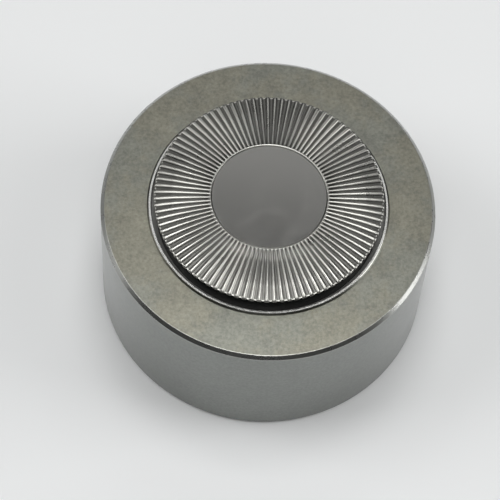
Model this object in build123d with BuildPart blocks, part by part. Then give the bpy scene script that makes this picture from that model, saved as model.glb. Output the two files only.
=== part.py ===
"""Plate-type bench demagnetizer: a turned steel puck whose fluted stage is pressed to run the coil.

Millimetres, +Z up. The origin is the centre of the rest surface, under the rubber foot ring.
The power inlet is in the rear wall, on +Y.
"""
from build123d import *
from math import cos, pi, radians, sin
import os

# Overall size
housing_radius = 24.0
housing_height = 23.0
foot_stand_proud = 0.3

# Housing
side_wall = 4.5
top_wall = 3.0
top_chamfer = 0.5
bottom_chamfer = 0.35
bore_chamfer = 0.08
bore_lip_height = 0.35
bore_lip_width = 0.6
bore_lip_chamfer = 0.25
chamfer_blend = 0.1
base_ledge = 3.1

# Base plate, its screws and the foot ring
base_plate_thickness = 2.8
base_plate_clearance = 0.05
base_screw_count = 4
base_screw_radius = 0.8
base_screw_head_radius = 1.4
base_screw_head_height = 0.8
base_screw_length = 6.0
foot_ring_width = 4.0
foot_groove_depth = 1.0
foot_edge_margin = 2.0

# Stage, which is the plate that is pressed
stage_proud = 2.85
stage_travel = 1.0
rib_count = 95
flute_depth = 0.4
flute_share = 0.32
stage_rim_thickness = 0.6
stage_overhang = 0.42
stage_crown = 0.15
stage_shoulder = 2.2
stage_body_thickness = 1.6
stage_centre_radius = 8.25
stage_centre_recess = 0.08
centre_lip = 0.2
centre_edge_chamfer = 0.1
stage_screw_count = 3
stage_screw_radius = 0.8
stage_screw_head_radius = 1.4
stage_screw_head_height = 0.7
stage_screw_bite = 0.7

# Carrier, bush, guide pins and return springs
skirt_wall = 1.4
carrier_lip_wall = 0.8
carrier_plate_thickness = 1.6
flange_width = 2.6
flange_thickness = 1.6
flange_gap = 0.9
bush_wall = 0.73
bush_slide_clearance = 0.05
bush_recess = 1.2
guide_pin_count = 3
guide_pin_radius = 0.5
guide_pin_slide_clearance = 0.06
guide_pin_first_angle = 30
guide_pin_socket = 3.0
guide_pin_tip_gap = 0.2
spring_radius = 0.9
spring_wire_radius = 0.17
spring_turns = 7

# Core and coil
core_gap = 0.7
core_side_gap = 1.1
core_wall = 1.5
core_floor = 2.0
pole_radius = 4.5
pole_spigot_radius = 3.0
core_screw_radius = 1.25
core_screw_head_radius = 2.4
core_screw_head_height = 1.4
core_screw_bite = 4.0
bobbin_clearance = 0.1
bobbin_wall = 1.0
bobbin_flange = 1.0
winding_margin = 1.3
tape_thickness = 0.3
coil_lead_radius = 0.3
coil_lead_angles = (240, 300)
coil_lead_edge_gap = 0.15
coil_lead_rise = 1.5

# Chassis and circuit board
chassis_thickness = 2.0
chassis_edge_gap = 0.2
component_space = 2.1
core_rim_width = 0.8
core_rim_height = 1.0
core_screw_clearance = 0.1
post_radius = 1.9
post_spigot_radius = 1.1
centre_post_radius = 4.0
board_thickness = 1.0
board_edge_gap = 0.6
board_hole_clearance = 0.1
spacer_radius = 1.9
spacer_height = 1.6
sheet_thickness = 0.2

# Parts on the board
component_gap = 0.5
component_edge_chamfer = 0.2
rectifier_width = 6.0
rectifier_depth = 5.0
rectifier_height = 1.7
varistor_width = 5.0
varistor_depth = 4.0
varistor_height = 1.5
fuse_radius = 0.9
fuse_length = 7.0
fuse_lead_radius = 0.25
fuse_lead_length = 2.0

# Film capacitor and switch, which stand on the chassis
side_part_gap = 1.5
capacitor_depth = 3.6
capacitor_width = 8.0
capacitor_corner = 0.4
capacitor_headroom = 0.7
capacitor_lead_radius = 0.3
capacitor_lead_spacing = 5.0
switch_depth = 3.4
switch_width = 6.4
switch_headroom = 0.7
switch_floor = 0.8
plunger_depth = 1.2
plunger_width = 2.0
plunger_corner = 0.15
plunger_clearance = 0.06
plunger_guided_length = 2.0
switch_spring_radius = 0.4
switch_spring_wire_radius = 0.1
switch_spring_turns = 5
terminal_width = 0.8
terminal_thickness = 0.4
terminal_spacing = 4.6

# Power inlet
inlet_barrel_radius = 3.4
inlet_bore_radius = 2.75
inlet_bore_depth = 7.0
inlet_flange_radius = 4.8
inlet_flange_thickness = 0.9
inlet_flange_recess = 0.3
inlet_inner_gap = 1.3
inlet_pin_radius = 1.0
inlet_pin_recess = 0.6
inlet_pin_tip_fillet = 0.5
inlet_edge_chamfer = 0.25
inlet_pin_root = 1.0
inlet_pin_root_radius = 0.8
inlet_tag_width = 1.2
inlet_tag_thickness = 0.3
inlet_tag_spacing = 2.6
inlet_tag_reach = 0.9
inlet_tag_root = 0.8
supply_lead_radius = 0.3

# Heights above the rest surface
housing_bottom = foot_stand_proud
housing_top = housing_bottom + housing_height
cavity_top = housing_top - top_wall
base_plate_top = housing_bottom + base_plate_thickness
sheet_top = base_plate_top + sheet_thickness
board_bottom = sheet_top + spacer_height
board_top = board_bottom + board_thickness
chassis_bottom = board_top + component_space
chassis_top = chassis_bottom + chassis_thickness
stage_top = housing_top + stage_proud
carrier_top = stage_top - stage_rim_thickness
carrier_plate_top = stage_top - stage_body_thickness
carrier_plate_bottom = carrier_plate_top - carrier_plate_thickness
flange_bottom = cavity_top - flange_thickness
core_top = carrier_plate_bottom - stage_travel - core_gap
core_floor_top = chassis_top + core_floor
side_parts_top = flange_bottom - stage_travel
inlet_height = (chassis_top + side_parts_top) / 2

# Radii, from the outside in
cavity_radius = housing_radius - side_wall
base_plate_radius = cavity_radius + base_ledge - base_plate_clearance
base_screw_circle = cavity_radius + base_ledge / 2
foot_ring_outer = base_screw_circle - base_screw_head_radius - foot_edge_margin
foot_ring_inner = foot_ring_outer - foot_ring_width
flange_radius = cavity_radius - flange_gap
skirt_radius = flange_radius - flange_width
bush_inner = skirt_radius + bush_slide_clearance
bore_radius = bush_inner + bush_wall
stage_radius = skirt_radius + stage_overhang
stage_body_radius = skirt_radius - carrier_lip_wall
guide_pin_circle = (skirt_radius + flange_radius) / 2
skirt_inner = skirt_radius - skirt_wall
core_radius = skirt_inner - core_side_gap
core_window = core_radius - core_wall
bobbin_inner = pole_radius + bobbin_clearance
bobbin_core = bobbin_inner + bobbin_wall
bobbin_outer = core_window - bobbin_clearance
winding_radius = core_window - winding_margin
tape_radius = winding_radius + tape_thickness
coil_lead_circle = tape_radius + coil_lead_edge_gap + coil_lead_radius
chassis_radius = cavity_radius - chassis_edge_gap
board_radius = cavity_radius - board_edge_gap
stage_screw_circle = (stage_centre_radius + stage_body_radius) / 2
side_part_inner = core_radius + side_part_gap
guide_pin_angles = [guide_pin_first_angle + 360 / guide_pin_count * i for i in range(guide_pin_count)]


def write(part, label):
    """Label a finished piece and write it as its own STEP file."""
    part.label = label
    export_step(part, f"parts/{label}.step")


def on_circle(radius, angle):
    """Point at an angle in degrees on a circle about the main axis."""
    return (radius * cos(radians(angle)), radius * sin(radians(angle)))


def on_guide_pins():
    """Places of the guide pins, which the posts, springs, spacers and flange holes share."""
    return Locations(*[on_circle(guide_pin_circle, angle) for angle in guide_pin_angles])


def on_coil_leads():
    """Places where the two ends of the winding run down to the board."""
    return Locations(*[on_circle(coil_lead_circle, angle) for angle in coil_lead_angles])


def tube(outer, inner, bottom, top):
    """Plain upright ring between two heights."""
    with BuildPart() as ring:
        with BuildSketch(Plane.XY.offset(bottom)):
            Circle(outer)
            Circle(inner, mode=Mode.SUBTRACT)
        extrude(amount=top - bottom)
    return ring.part


def coil_spring(radius, wire_radius, turns, bottom, top):
    """Compression spring about the Z axis with a flat closed coil at each end."""
    end_lift = 1.2 * wire_radius
    end_coil_height = 1.5 * wire_radius
    end_coil_half_width = 1.15 * wire_radius
    rise = top - bottom - 2 * end_lift
    with BuildPart() as spring:
        with BuildLine():
            Helix(pitch=rise / turns, height=rise, radius=radius, center=(0, 0, bottom + end_lift))
        with BuildSketch(Plane(origin=(radius, 0, bottom + end_lift), z_dir=(0, 1, 0))):
            Circle(wire_radius)
        sweep(is_frenet=True)
        for end in (bottom, top - end_coil_height):
            with BuildSketch(Plane.XY.offset(end)):
                Circle(radius + end_coil_half_width)
                Circle(radius - end_coil_half_width, mode=Mode.SUBTRACT)
            extrude(amount=end_coil_height)
    return spring.part


def screw_blank(bottom, radius, head_radius, head_height, length):
    """Countersunk screw without its slot, head face down at a height. It also cuts the screw's hole."""
    with BuildPart() as blank:
        with BuildSketch(Plane.XZ):
            with BuildLine():
                Polyline((0, bottom), (head_radius, bottom), (radius, bottom + head_height),
                         (radius, bottom + length), (0, bottom + length), close=True)
            make_face()
        revolve(axis=Axis.Z)
    return blank.part


def countersunk_screw(bottom, radius, head_radius, head_height, length):
    """Countersunk screw with a cross-slot, head face down at a height."""
    blank = screw_blank(bottom, radius, head_radius, head_height, length)
    with BuildPart() as screw:
        add(blank)
        with BuildSketch(Plane.XY.offset(bottom)):
            Rectangle(head_radius * 1.2, head_radius * 0.25)
            Rectangle(head_radius * 0.25, head_radius * 1.2)
        extrude(amount=head_height * 0.6, mode=Mode.SUBTRACT)
    return screw.part


def inlet_plane(y):
    """Plane across the inlet's axis at a distance behind the main axis, facing outward."""
    return Plane(origin=(0, y, inlet_height), x_dir=(1, 0, 0), z_dir=(0, 1, 0))


os.makedirs("parts", exist_ok=True)

# ---------------------------------------------------------------- housing and base

inlet_seat = housing_radius - inlet_flange_recess - inlet_flange_thickness
base_screw_sizes = (housing_bottom, base_screw_radius, base_screw_head_radius, base_screw_head_height,
                    base_screw_length)
base_screw_seat = screw_blank(*base_screw_sizes)

with BuildPart() as housing:
    with BuildSketch(Plane.XY.offset(housing_bottom)):
        Circle(housing_radius)
    extrude(amount=housing_height)
    chamfer(housing.edges().group_by(Axis.Z)[-1], top_chamfer)
    chamfer(housing.edges().group_by(Axis.Z)[0], bottom_chamfer)
    fillet(housing.edges().filter_by(GeomType.CIRCLE), chamfer_blend)
    with BuildSketch(Plane.XY.offset(housing_top)):
        Circle(bore_radius + bore_lip_width)
    extrude(amount=bore_lip_height)
    chamfer(housing.edges().group_by(Axis.Z)[-1], bore_lip_chamfer)
    with BuildSketch(Plane.XY.offset(housing_bottom)):
        Circle(cavity_radius)
    extrude(amount=cavity_top - housing_bottom, mode=Mode.SUBTRACT)
    with BuildSketch(Plane.XY.offset(housing_bottom)):
        Circle(cavity_radius + base_ledge)
    extrude(amount=base_plate_thickness, mode=Mode.SUBTRACT)
    with BuildSketch(Plane.XY.offset(cavity_top)):
        Circle(bore_radius)
    extrude(amount=top_wall + bore_lip_height, mode=Mode.SUBTRACT)
    bore_edge = housing.edges().filter_by(GeomType.CIRCLE).group_by(Axis.Z)[-1].sort_by(SortBy.RADIUS)[0]
    chamfer(bore_edge, bore_chamfer)
    with PolarLocations(base_screw_circle, base_screw_count, start_angle=45):
        add(base_screw_seat, mode=Mode.SUBTRACT)
    with BuildSketch(inlet_plane(0)):
        Circle(inlet_barrel_radius)
    extrude(amount=housing_radius, mode=Mode.SUBTRACT)
    with BuildSketch(inlet_plane(inlet_seat)):
        Circle(inlet_flange_radius)
    extrude(amount=side_wall, mode=Mode.SUBTRACT)
write(housing.part, "housing")

core_screw_length = chassis_top + core_screw_bite - housing_bottom
core_screw_sizes = (housing_bottom, core_screw_radius, core_screw_head_radius, core_screw_head_height,
                    core_screw_length)
core_screw_seat = screw_blank(*core_screw_sizes)
with BuildPart() as base_plate:
    with BuildSketch(Plane.XY.offset(housing_bottom)):
        Circle(base_plate_radius)
    extrude(amount=base_plate_thickness)
    with BuildSketch(Plane.XY.offset(housing_bottom)):
        Circle(foot_ring_outer)
        Circle(foot_ring_inner, mode=Mode.SUBTRACT)
    extrude(amount=foot_groove_depth, mode=Mode.SUBTRACT)
    with PolarLocations(base_screw_circle, base_screw_count, start_angle=45):
        add(base_screw_seat, mode=Mode.SUBTRACT)
    add(core_screw_seat, mode=Mode.SUBTRACT)
write(base_plate.part, "base_plate")

base_plate_screw = countersunk_screw(*base_screw_sizes)
with BuildPart() as base_plate_screws:
    with PolarLocations(base_screw_circle, base_screw_count, start_angle=45):
        add(base_plate_screw)
write(base_plate_screws.part, "base_plate_screws")

write(tube(foot_ring_outer, foot_ring_inner, 0, housing_bottom + foot_groove_depth), "foot_ring")

# ---------------------------------------------------------------- stage

rib_start = stage_centre_radius + centre_lip
flute_end = stage_radius + 1
flute_start_half = pi * rib_start * flute_share / rib_count
flute_end_half = pi * flute_end * flute_share / rib_count
with BuildPart() as fluted_stage:
    with BuildSketch(Plane.XZ):
        with BuildLine():
            Polyline((stage_centre_radius, carrier_plate_top), (stage_body_radius, carrier_plate_top),
                     (stage_body_radius, carrier_top), (stage_radius, carrier_top),
                     (stage_radius, stage_top - stage_crown))
            ThreePointArc((stage_radius, stage_top - stage_crown),
                          (stage_radius - stage_shoulder * 0.5, stage_top - stage_crown * 0.3),
                          (stage_radius - stage_shoulder, stage_top))
            Polyline((stage_radius - stage_shoulder, stage_top), (stage_centre_radius, stage_top),
                     (stage_centre_radius, carrier_plate_top))
        make_face()
    revolve(axis=Axis.Z)
    with BuildSketch(Plane.XY.offset(stage_top)):
        with PolarLocations(0, rib_count):
            Polygon((rib_start, -flute_start_half), (flute_end, -flute_end_half),
                    (flute_end, flute_end_half), (rib_start, flute_start_half), align=None)
    extrude(amount=-flute_depth, mode=Mode.SUBTRACT)
    with BuildSketch(Plane.XY.offset(carrier_plate_top)):
        with PolarLocations(stage_screw_circle, stage_screw_count, start_angle=90):
            Circle(stage_screw_radius)
    extrude(amount=stage_screw_bite, mode=Mode.SUBTRACT)
write(fluted_stage.part, "fluted_stage")

with BuildPart() as stage_centre:
    with BuildSketch(Plane.XY.offset(carrier_plate_top)):
        Circle(stage_centre_radius)
    extrude(amount=stage_body_thickness - stage_centre_recess)
    chamfer(stage_centre.edges().group_by(Axis.Z)[-1], centre_edge_chamfer)
write(stage_centre.part, "stage_centre")

stage_screw_sizes = (carrier_plate_bottom, stage_screw_radius, stage_screw_head_radius,
                     stage_screw_head_height, carrier_plate_thickness + stage_screw_bite)
stage_screw_seat = screw_blank(*stage_screw_sizes)
with BuildPart() as stage_carrier:
    with BuildSketch(Plane.XY.offset(flange_bottom)):
        Circle(flange_radius)
    extrude(amount=flange_thickness)
    with BuildSketch(Plane.XY.offset(flange_bottom)):
        Circle(skirt_radius)
    extrude(amount=carrier_top - flange_bottom)
    with BuildSketch(Plane.XY.offset(flange_bottom)):
        Circle(skirt_inner)
    extrude(amount=carrier_plate_bottom - flange_bottom, mode=Mode.SUBTRACT)
    with BuildSketch(Plane.XY.offset(carrier_plate_top)):
        Circle(stage_body_radius)
    extrude(amount=carrier_top - carrier_plate_top, mode=Mode.SUBTRACT)
    with BuildSketch(Plane.XY.offset(flange_bottom)):
        with on_guide_pins():
            Circle(guide_pin_radius + guide_pin_slide_clearance)
    extrude(amount=flange_thickness, mode=Mode.SUBTRACT)
    with PolarLocations(stage_screw_circle, stage_screw_count, start_angle=90):
        add(stage_screw_seat, mode=Mode.SUBTRACT)
write(stage_carrier.part, "stage_carrier")

stage_screw = countersunk_screw(*stage_screw_sizes)
with BuildPart() as stage_screws:
    with PolarLocations(stage_screw_circle, stage_screw_count, start_angle=90):
        add(stage_screw)
write(stage_screws.part, "stage_screws")

write(tube(bore_radius, bush_inner, cavity_top, housing_top - bush_recess), "guide_bush")

guide_pin_bottom = chassis_top - guide_pin_socket
guide_pin_top = cavity_top - guide_pin_tip_gap
with BuildPart() as guide_pins:
    with BuildSketch(Plane.XY.offset(guide_pin_bottom)):
        with on_guide_pins():
            Circle(guide_pin_radius)
    extrude(amount=guide_pin_top - guide_pin_bottom)
write(guide_pins.part, "guide_pins")

return_spring = coil_spring(spring_radius, spring_wire_radius, spring_turns, chassis_top, flange_bottom)
with BuildPart() as return_springs:
    with on_guide_pins():
        add(return_spring)
write(return_springs.part, "return_springs")

# ---------------------------------------------------------------- core and coil

with BuildPart() as core_cup:
    with BuildSketch(Plane.XY.offset(chassis_top)):
        Circle(core_radius)
    extrude(amount=core_top - chassis_top)
    with BuildSketch(Plane.XY.offset(core_floor_top)):
        Circle(core_window)
    extrude(amount=core_top - core_floor_top, mode=Mode.SUBTRACT)
    with BuildSketch(Plane.XY.offset(chassis_top)):
        Circle(pole_spigot_radius)
        with on_coil_leads():
            Circle(coil_lead_radius)
    extrude(amount=core_floor, mode=Mode.SUBTRACT)
write(core_cup.part, "core_cup")

with BuildPart() as core_pole:
    with BuildSketch(Plane.XY.offset(core_floor_top)):
        Circle(pole_radius)
    extrude(amount=core_top - core_floor_top)
    with BuildSketch(Plane.XY.offset(chassis_top)):
        Circle(pole_spigot_radius)
    extrude(amount=core_floor)
    with BuildSketch(Plane.XY.offset(chassis_top)):
        Circle(core_screw_radius)
    extrude(amount=core_screw_bite, mode=Mode.SUBTRACT)
write(core_pole.part, "core_pole")

write(countersunk_screw(*core_screw_sizes), "core_screw")

winding_bottom = core_floor_top + bobbin_flange
winding_top = core_top - bobbin_flange
with BuildPart() as coil_bobbin:
    with BuildSketch(Plane.XY.offset(core_floor_top)):
        Circle(bobbin_outer)
    extrude(amount=core_top - core_floor_top)
    with BuildSketch(Plane.XY.offset(winding_bottom)):
        Circle(bobbin_outer)
        Circle(bobbin_core, mode=Mode.SUBTRACT)
    extrude(amount=winding_top - winding_bottom, mode=Mode.SUBTRACT)
    with BuildSketch(Plane.XY.offset(core_floor_top)):
        Circle(bobbin_inner)
    extrude(amount=core_top - core_floor_top, mode=Mode.SUBTRACT)
    with BuildSketch(Plane.XY.offset(core_floor_top)):
        with on_coil_leads():
            Circle(coil_lead_radius)
    extrude(amount=bobbin_flange, mode=Mode.SUBTRACT)
write(coil_bobbin.part, "coil_bobbin")

write(tube(winding_radius, bobbin_core, winding_bottom, winding_top), "coil_winding")
write(tube(tape_radius, winding_radius, winding_bottom, winding_top), "coil_tape")

with BuildPart() as coil_leads:
    with BuildSketch(Plane.XY.offset(board_top)):
        with on_coil_leads():
            Circle(coil_lead_radius)
    extrude(amount=winding_bottom + coil_lead_rise - board_top)
write(coil_leads.part, "coil_leads")

# ---------------------------------------------------------------- film capacitor and switch

capacitor_x = side_part_inner + capacitor_depth / 2
capacitor_top = side_parts_top - capacitor_headroom
with BuildPart() as film_capacitor:
    with BuildSketch(Plane.XY.offset(chassis_top)):
        with Locations((capacitor_x, 0)):
            RectangleRounded(capacitor_depth, capacitor_width, capacitor_corner)
    extrude(amount=capacitor_top - chassis_top)
    with BuildSketch(Plane.XY.offset(board_top)):
        with Locations((capacitor_x, 0)):
            with GridLocations(0, capacitor_lead_spacing, 1, 2):
                Circle(capacitor_lead_radius)
    extrude(amount=chassis_top - board_top)
write(film_capacitor.part, "film_capacitor")

plunger_x = -guide_pin_circle
switch_top = side_parts_top - switch_headroom
plunger_foot = switch_top - plunger_guided_length
with BuildPart() as switch_body:
    with BuildSketch(Plane.XY.offset(chassis_top)):
        with Locations((plunger_x, 0)):
            Rectangle(switch_depth, switch_width)
    extrude(amount=switch_top - chassis_top)
    with BuildSketch(Plane.XY.offset(chassis_top + switch_floor)):
        with Locations((plunger_x, 0)):
            Rectangle(plunger_depth + 2 * plunger_clearance, plunger_width + 2 * plunger_clearance)
    extrude(amount=switch_top - chassis_top - switch_floor, mode=Mode.SUBTRACT)
write(switch_body.part, "switch_body")

with BuildPart() as switch_plunger:
    with BuildSketch(Plane.XY.offset(plunger_foot)):
        with Locations((plunger_x, 0)):
            RectangleRounded(plunger_depth, plunger_width, plunger_corner)
    extrude(amount=flange_bottom - plunger_foot)
write(switch_plunger.part, "switch_plunger")

plunger_spring = coil_spring(switch_spring_radius, switch_spring_wire_radius, switch_spring_turns,
                             chassis_top + switch_floor, plunger_foot)
with BuildPart() as switch_spring:
    with Locations((plunger_x, 0)):
        add(plunger_spring)
write(switch_spring.part, "switch_spring")

with BuildPart() as switch_terminals:
    with BuildSketch(Plane.XY.offset(board_top)):
        with Locations((plunger_x, 0)):
            with GridLocations(0, terminal_spacing, 1, 2):
                Rectangle(terminal_thickness, terminal_width)
    extrude(amount=chassis_top - board_top)
write(switch_terminals.part, "switch_terminals")

# ---------------------------------------------------------------- power inlet

inlet_inner = core_radius + inlet_inner_gap
inlet_mouth = inlet_seat + inlet_flange_thickness
inlet_bore_floor = inlet_mouth - inlet_bore_depth
supply_lead_y = inlet_inner - inlet_tag_reach / 2

with BuildPart() as inlet_shell:
    with BuildSketch(inlet_plane(inlet_inner)):
        Circle(inlet_barrel_radius)
    extrude(amount=inlet_seat - inlet_inner)
    with BuildSketch(inlet_plane(inlet_seat)):
        Circle(inlet_flange_radius)
    extrude(amount=inlet_flange_thickness)
    with BuildSketch(inlet_plane(inlet_inner)):
        Circle(inlet_bore_radius)
    extrude(amount=inlet_mouth - inlet_inner, mode=Mode.SUBTRACT)
    chamfer(inlet_shell.edges().filter_by(GeomType.CIRCLE).group_by(Axis.Y)[-1], inlet_edge_chamfer)
write(inlet_shell.part, "inlet_shell")

with BuildPart() as inlet_insulator:
    with BuildSketch(inlet_plane(inlet_inner)):
        Circle(inlet_bore_radius)
    extrude(amount=inlet_bore_floor - inlet_inner)
    with BuildSketch(inlet_plane(inlet_bore_floor - inlet_pin_root)):
        Circle(inlet_pin_root_radius)
    extrude(amount=inlet_pin_root, mode=Mode.SUBTRACT)
    with BuildSketch(inlet_plane(inlet_inner)):
        with GridLocations(inlet_tag_spacing, 0, 2, 1):
            Rectangle(inlet_tag_width, inlet_tag_thickness)
    extrude(amount=inlet_tag_root, mode=Mode.SUBTRACT)
write(inlet_insulator.part, "inlet_insulator")

with BuildPart() as inlet_pin:
    with BuildSketch(inlet_plane(inlet_bore_floor - inlet_pin_root)):
        Circle(inlet_pin_root_radius)
    extrude(amount=inlet_pin_root)
    with BuildSketch(inlet_plane(inlet_bore_floor)):
        Circle(inlet_pin_radius)
    extrude(amount=inlet_bore_depth - inlet_pin_recess)
    fillet(inlet_pin.edges().group_by(Axis.Y)[-1], inlet_pin_tip_fillet)
write(inlet_pin.part, "inlet_pin")

with BuildPart() as inlet_tags:
    with BuildSketch(inlet_plane(inlet_inner - inlet_tag_reach)):
        with GridLocations(inlet_tag_spacing, 0, 2, 1):
            Rectangle(inlet_tag_width, inlet_tag_thickness)
    extrude(amount=inlet_tag_reach + inlet_tag_root)
write(inlet_tags.part, "inlet_tags")

with BuildPart() as supply_leads:
    with BuildSketch(Plane.XY.offset(board_top)):
        with Locations((0, supply_lead_y)):
            with GridLocations(inlet_tag_spacing, 0, 2, 1):
                Circle(supply_lead_radius)
    extrude(amount=inlet_height - inlet_tag_thickness / 2 - board_top)
write(supply_leads.part, "supply_leads")

# ---------------------------------------------------------------- chassis and circuit board

with BuildPart() as chassis:
    with BuildSketch(Plane.XY.offset(chassis_bottom)):
        Circle(chassis_radius)
    extrude(amount=chassis_thickness)
    with BuildSketch(Plane.XY.offset(chassis_top)):
        Circle(core_radius + core_rim_width)
        Circle(core_radius, mode=Mode.SUBTRACT)
    extrude(amount=core_rim_height)
    with BuildSketch(Plane.XY.offset(base_plate_top)):
        Circle(centre_post_radius)
        with on_guide_pins():
            Circle(post_spigot_radius)
    extrude(amount=chassis_bottom - base_plate_top)
    with BuildSketch(Plane.XY.offset(board_top)):
        with on_guide_pins():
            Circle(post_radius)
    extrude(amount=chassis_bottom - board_top)
    with BuildSketch(Plane.XY.offset(guide_pin_bottom)):
        with on_guide_pins():
            Circle(guide_pin_radius)
    extrude(amount=guide_pin_socket, mode=Mode.SUBTRACT)
    with BuildSketch(Plane.XY.offset(base_plate_top)):
        Circle(core_screw_radius + core_screw_clearance)
    extrude(amount=chassis_top - base_plate_top, mode=Mode.SUBTRACT)
    with BuildSketch(Plane.XY.offset(chassis_bottom)):
        with on_coil_leads():
            Circle(coil_lead_radius)
        with Locations((0, supply_lead_y)):
            with GridLocations(inlet_tag_spacing, 0, 2, 1):
                Circle(supply_lead_radius)
        with Locations((capacitor_x, 0)):
            with GridLocations(0, capacitor_lead_spacing, 1, 2):
                Circle(capacitor_lead_radius)
        with Locations((plunger_x, 0)):
            with GridLocations(0, terminal_spacing, 1, 2):
                Rectangle(terminal_thickness, terminal_width)
    extrude(amount=chassis_thickness + core_rim_height, mode=Mode.SUBTRACT)
write(chassis.part, "chassis")

with BuildPart() as insulating_sheet:
    with BuildSketch(Plane.XY.offset(base_plate_top)):
        Circle(board_radius)
        Circle(centre_post_radius, mode=Mode.SUBTRACT)
        with on_guide_pins():
            Circle(post_spigot_radius, mode=Mode.SUBTRACT)
    extrude(amount=sheet_thickness)
write(insulating_sheet.part, "insulating_sheet")

with BuildPart() as board_spacers:
    with BuildSketch(Plane.XY.offset(sheet_top)):
        with on_guide_pins():
            Circle(spacer_radius)
            Circle(post_spigot_radius, mode=Mode.SUBTRACT)
    extrude(amount=spacer_height)
write(board_spacers.part, "board_spacers")

with BuildPart() as circuit_board:
    with BuildSketch(Plane.XY.offset(board_bottom)):
        Circle(board_radius)
        Circle(centre_post_radius + board_hole_clearance, mode=Mode.SUBTRACT)
        with on_guide_pins():
            Circle(post_spigot_radius, mode=Mode.SUBTRACT)
    extrude(amount=board_thickness)
write(circuit_board.part, "circuit_board")

component_circle = (centre_post_radius + board_radius) / 2
rectifier_y = supply_lead_y - supply_lead_radius - component_gap - rectifier_depth / 2
with BuildPart() as bridge_rectifier:
    with BuildSketch(Plane.XY.offset(board_top)):
        with Locations((0, rectifier_y)):
            Rectangle(rectifier_width, rectifier_depth)
    extrude(amount=rectifier_height)
    chamfer(bridge_rectifier.edges().group_by(Axis.Z)[-1], component_edge_chamfer)
write(bridge_rectifier.part, "bridge_rectifier")

with BuildPart() as varistor:
    with BuildSketch(Plane.XY.offset(board_top)):
        with Locations((-component_circle, 0)):
            Rectangle(varistor_depth, varistor_width)
    extrude(amount=varistor_height)
    chamfer(varistor.edges().group_by(Axis.Z)[-1], component_edge_chamfer)
write(varistor.part, "varistor")

fuse_height = board_top + fuse_radius
fuse_end = fuse_length / 2 + fuse_lead_length
with BuildPart() as thermal_fuse:
    with BuildSketch(Plane(origin=(component_circle, -fuse_length / 2, fuse_height), z_dir=(0, 1, 0))):
        Circle(fuse_radius)
    extrude(amount=fuse_length)
    with BuildSketch(Plane(origin=(component_circle, -fuse_end, fuse_height), z_dir=(0, 1, 0))):
        Circle(fuse_lead_radius)
    extrude(amount=2 * fuse_end)
    with BuildSketch(Plane.XY.offset(board_top)):
        with Locations((component_circle, 0)):
            with GridLocations(0, 2 * fuse_end - 2 * fuse_lead_radius, 1, 2):
                Circle(fuse_lead_radius)
    extrude(amount=fuse_radius)
write(thermal_fuse.part, "thermal_fuse")
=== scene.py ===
"""Looks of a plate-type bench demagnetizer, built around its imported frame.

A turned steel puck with a blasted finish carries a fluted nickel stage that is pressed to run the coil.
Lengths in the property groups are metres, as everywhere in Blender.
"""

from math import cos, pi, radians, sin, tan

import bmesh
import bpy
from bpy.props import FloatProperty, FloatVectorProperty, IntProperty, PointerProperty
from bpy.types import Operator, Panel, PropertyGroup
from mathutils import Matrix, Vector


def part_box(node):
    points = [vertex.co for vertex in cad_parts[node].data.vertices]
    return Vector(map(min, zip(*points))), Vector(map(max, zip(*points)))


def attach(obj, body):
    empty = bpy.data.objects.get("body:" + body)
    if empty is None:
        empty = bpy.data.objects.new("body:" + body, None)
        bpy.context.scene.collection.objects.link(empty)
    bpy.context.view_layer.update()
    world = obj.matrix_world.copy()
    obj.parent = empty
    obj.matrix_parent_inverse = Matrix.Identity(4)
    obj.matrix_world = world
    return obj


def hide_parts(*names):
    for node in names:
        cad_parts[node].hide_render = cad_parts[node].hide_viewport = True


bl_info = {
    "name": "Plate demagnetizer",
    "version": (1, 0, 0),
    "blender": (4, 5, 0),
    "location": "View3D > Sidebar > Demagnetizer",
    "description": "Finishes a bench demagnetizer around its packed frame",
    "category": "Object",
}

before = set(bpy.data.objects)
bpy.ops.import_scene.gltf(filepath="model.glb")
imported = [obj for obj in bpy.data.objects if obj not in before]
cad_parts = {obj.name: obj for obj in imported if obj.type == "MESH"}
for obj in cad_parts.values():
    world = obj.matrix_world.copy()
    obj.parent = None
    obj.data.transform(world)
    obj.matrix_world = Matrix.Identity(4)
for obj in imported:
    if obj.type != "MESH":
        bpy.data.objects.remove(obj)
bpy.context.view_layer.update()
MM = 0.001
SAME_POINT = 0.001 * MM
SHARP_ANGLE = radians(50)


# ------------------------------------------------------------------ sizes from the frame

def node_radius(node):
    """Outer radius of a turned node about the main axis."""
    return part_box(node)[1].x


def turned_points(node):
    """Radius and height of each of a node's points about the main axis."""
    points = [v.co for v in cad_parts[node].data.vertices]
    return [(Vector((p.x, p.y)).length, p.z) for p in points]


def radius_at(node, height, tolerance=0.02 * MM):
    """Largest radius of a node's own points at one height."""
    return max(radius for radius, z in turned_points(node) if abs(z - height) < tolerance)


def heights_beyond(node, radius):
    """Heights of a node's points outside a radius."""
    return [z for reach, z in turned_points(node) if reach > radius]


STAGE_LOW, STAGE_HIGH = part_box("fluted_stage")
STAGE_RADIUS = STAGE_HIGH.x
STAGE_BODY_RADIUS = radius_at("fluted_stage", STAGE_LOW.z)
STAGE_RIM_LOW = min(heights_beyond("fluted_stage", STAGE_BODY_RADIUS + 0.1 * MM))
CENTRE_RADIUS = node_radius("stage_centre")
HOUSING_RADIUS = node_radius("housing")
BORE_RADIUS = node_radius("guide_bush")
TOP_FACE = max(heights_beyond("housing", BORE_RADIUS + 1.5 * MM))
WINDING_LOW, WINDING_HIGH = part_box("coil_winding")
WINDING_INNER = min(radius for radius, z in turned_points("coil_winding"))


# ------------------------------------------------------------------ properties

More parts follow.
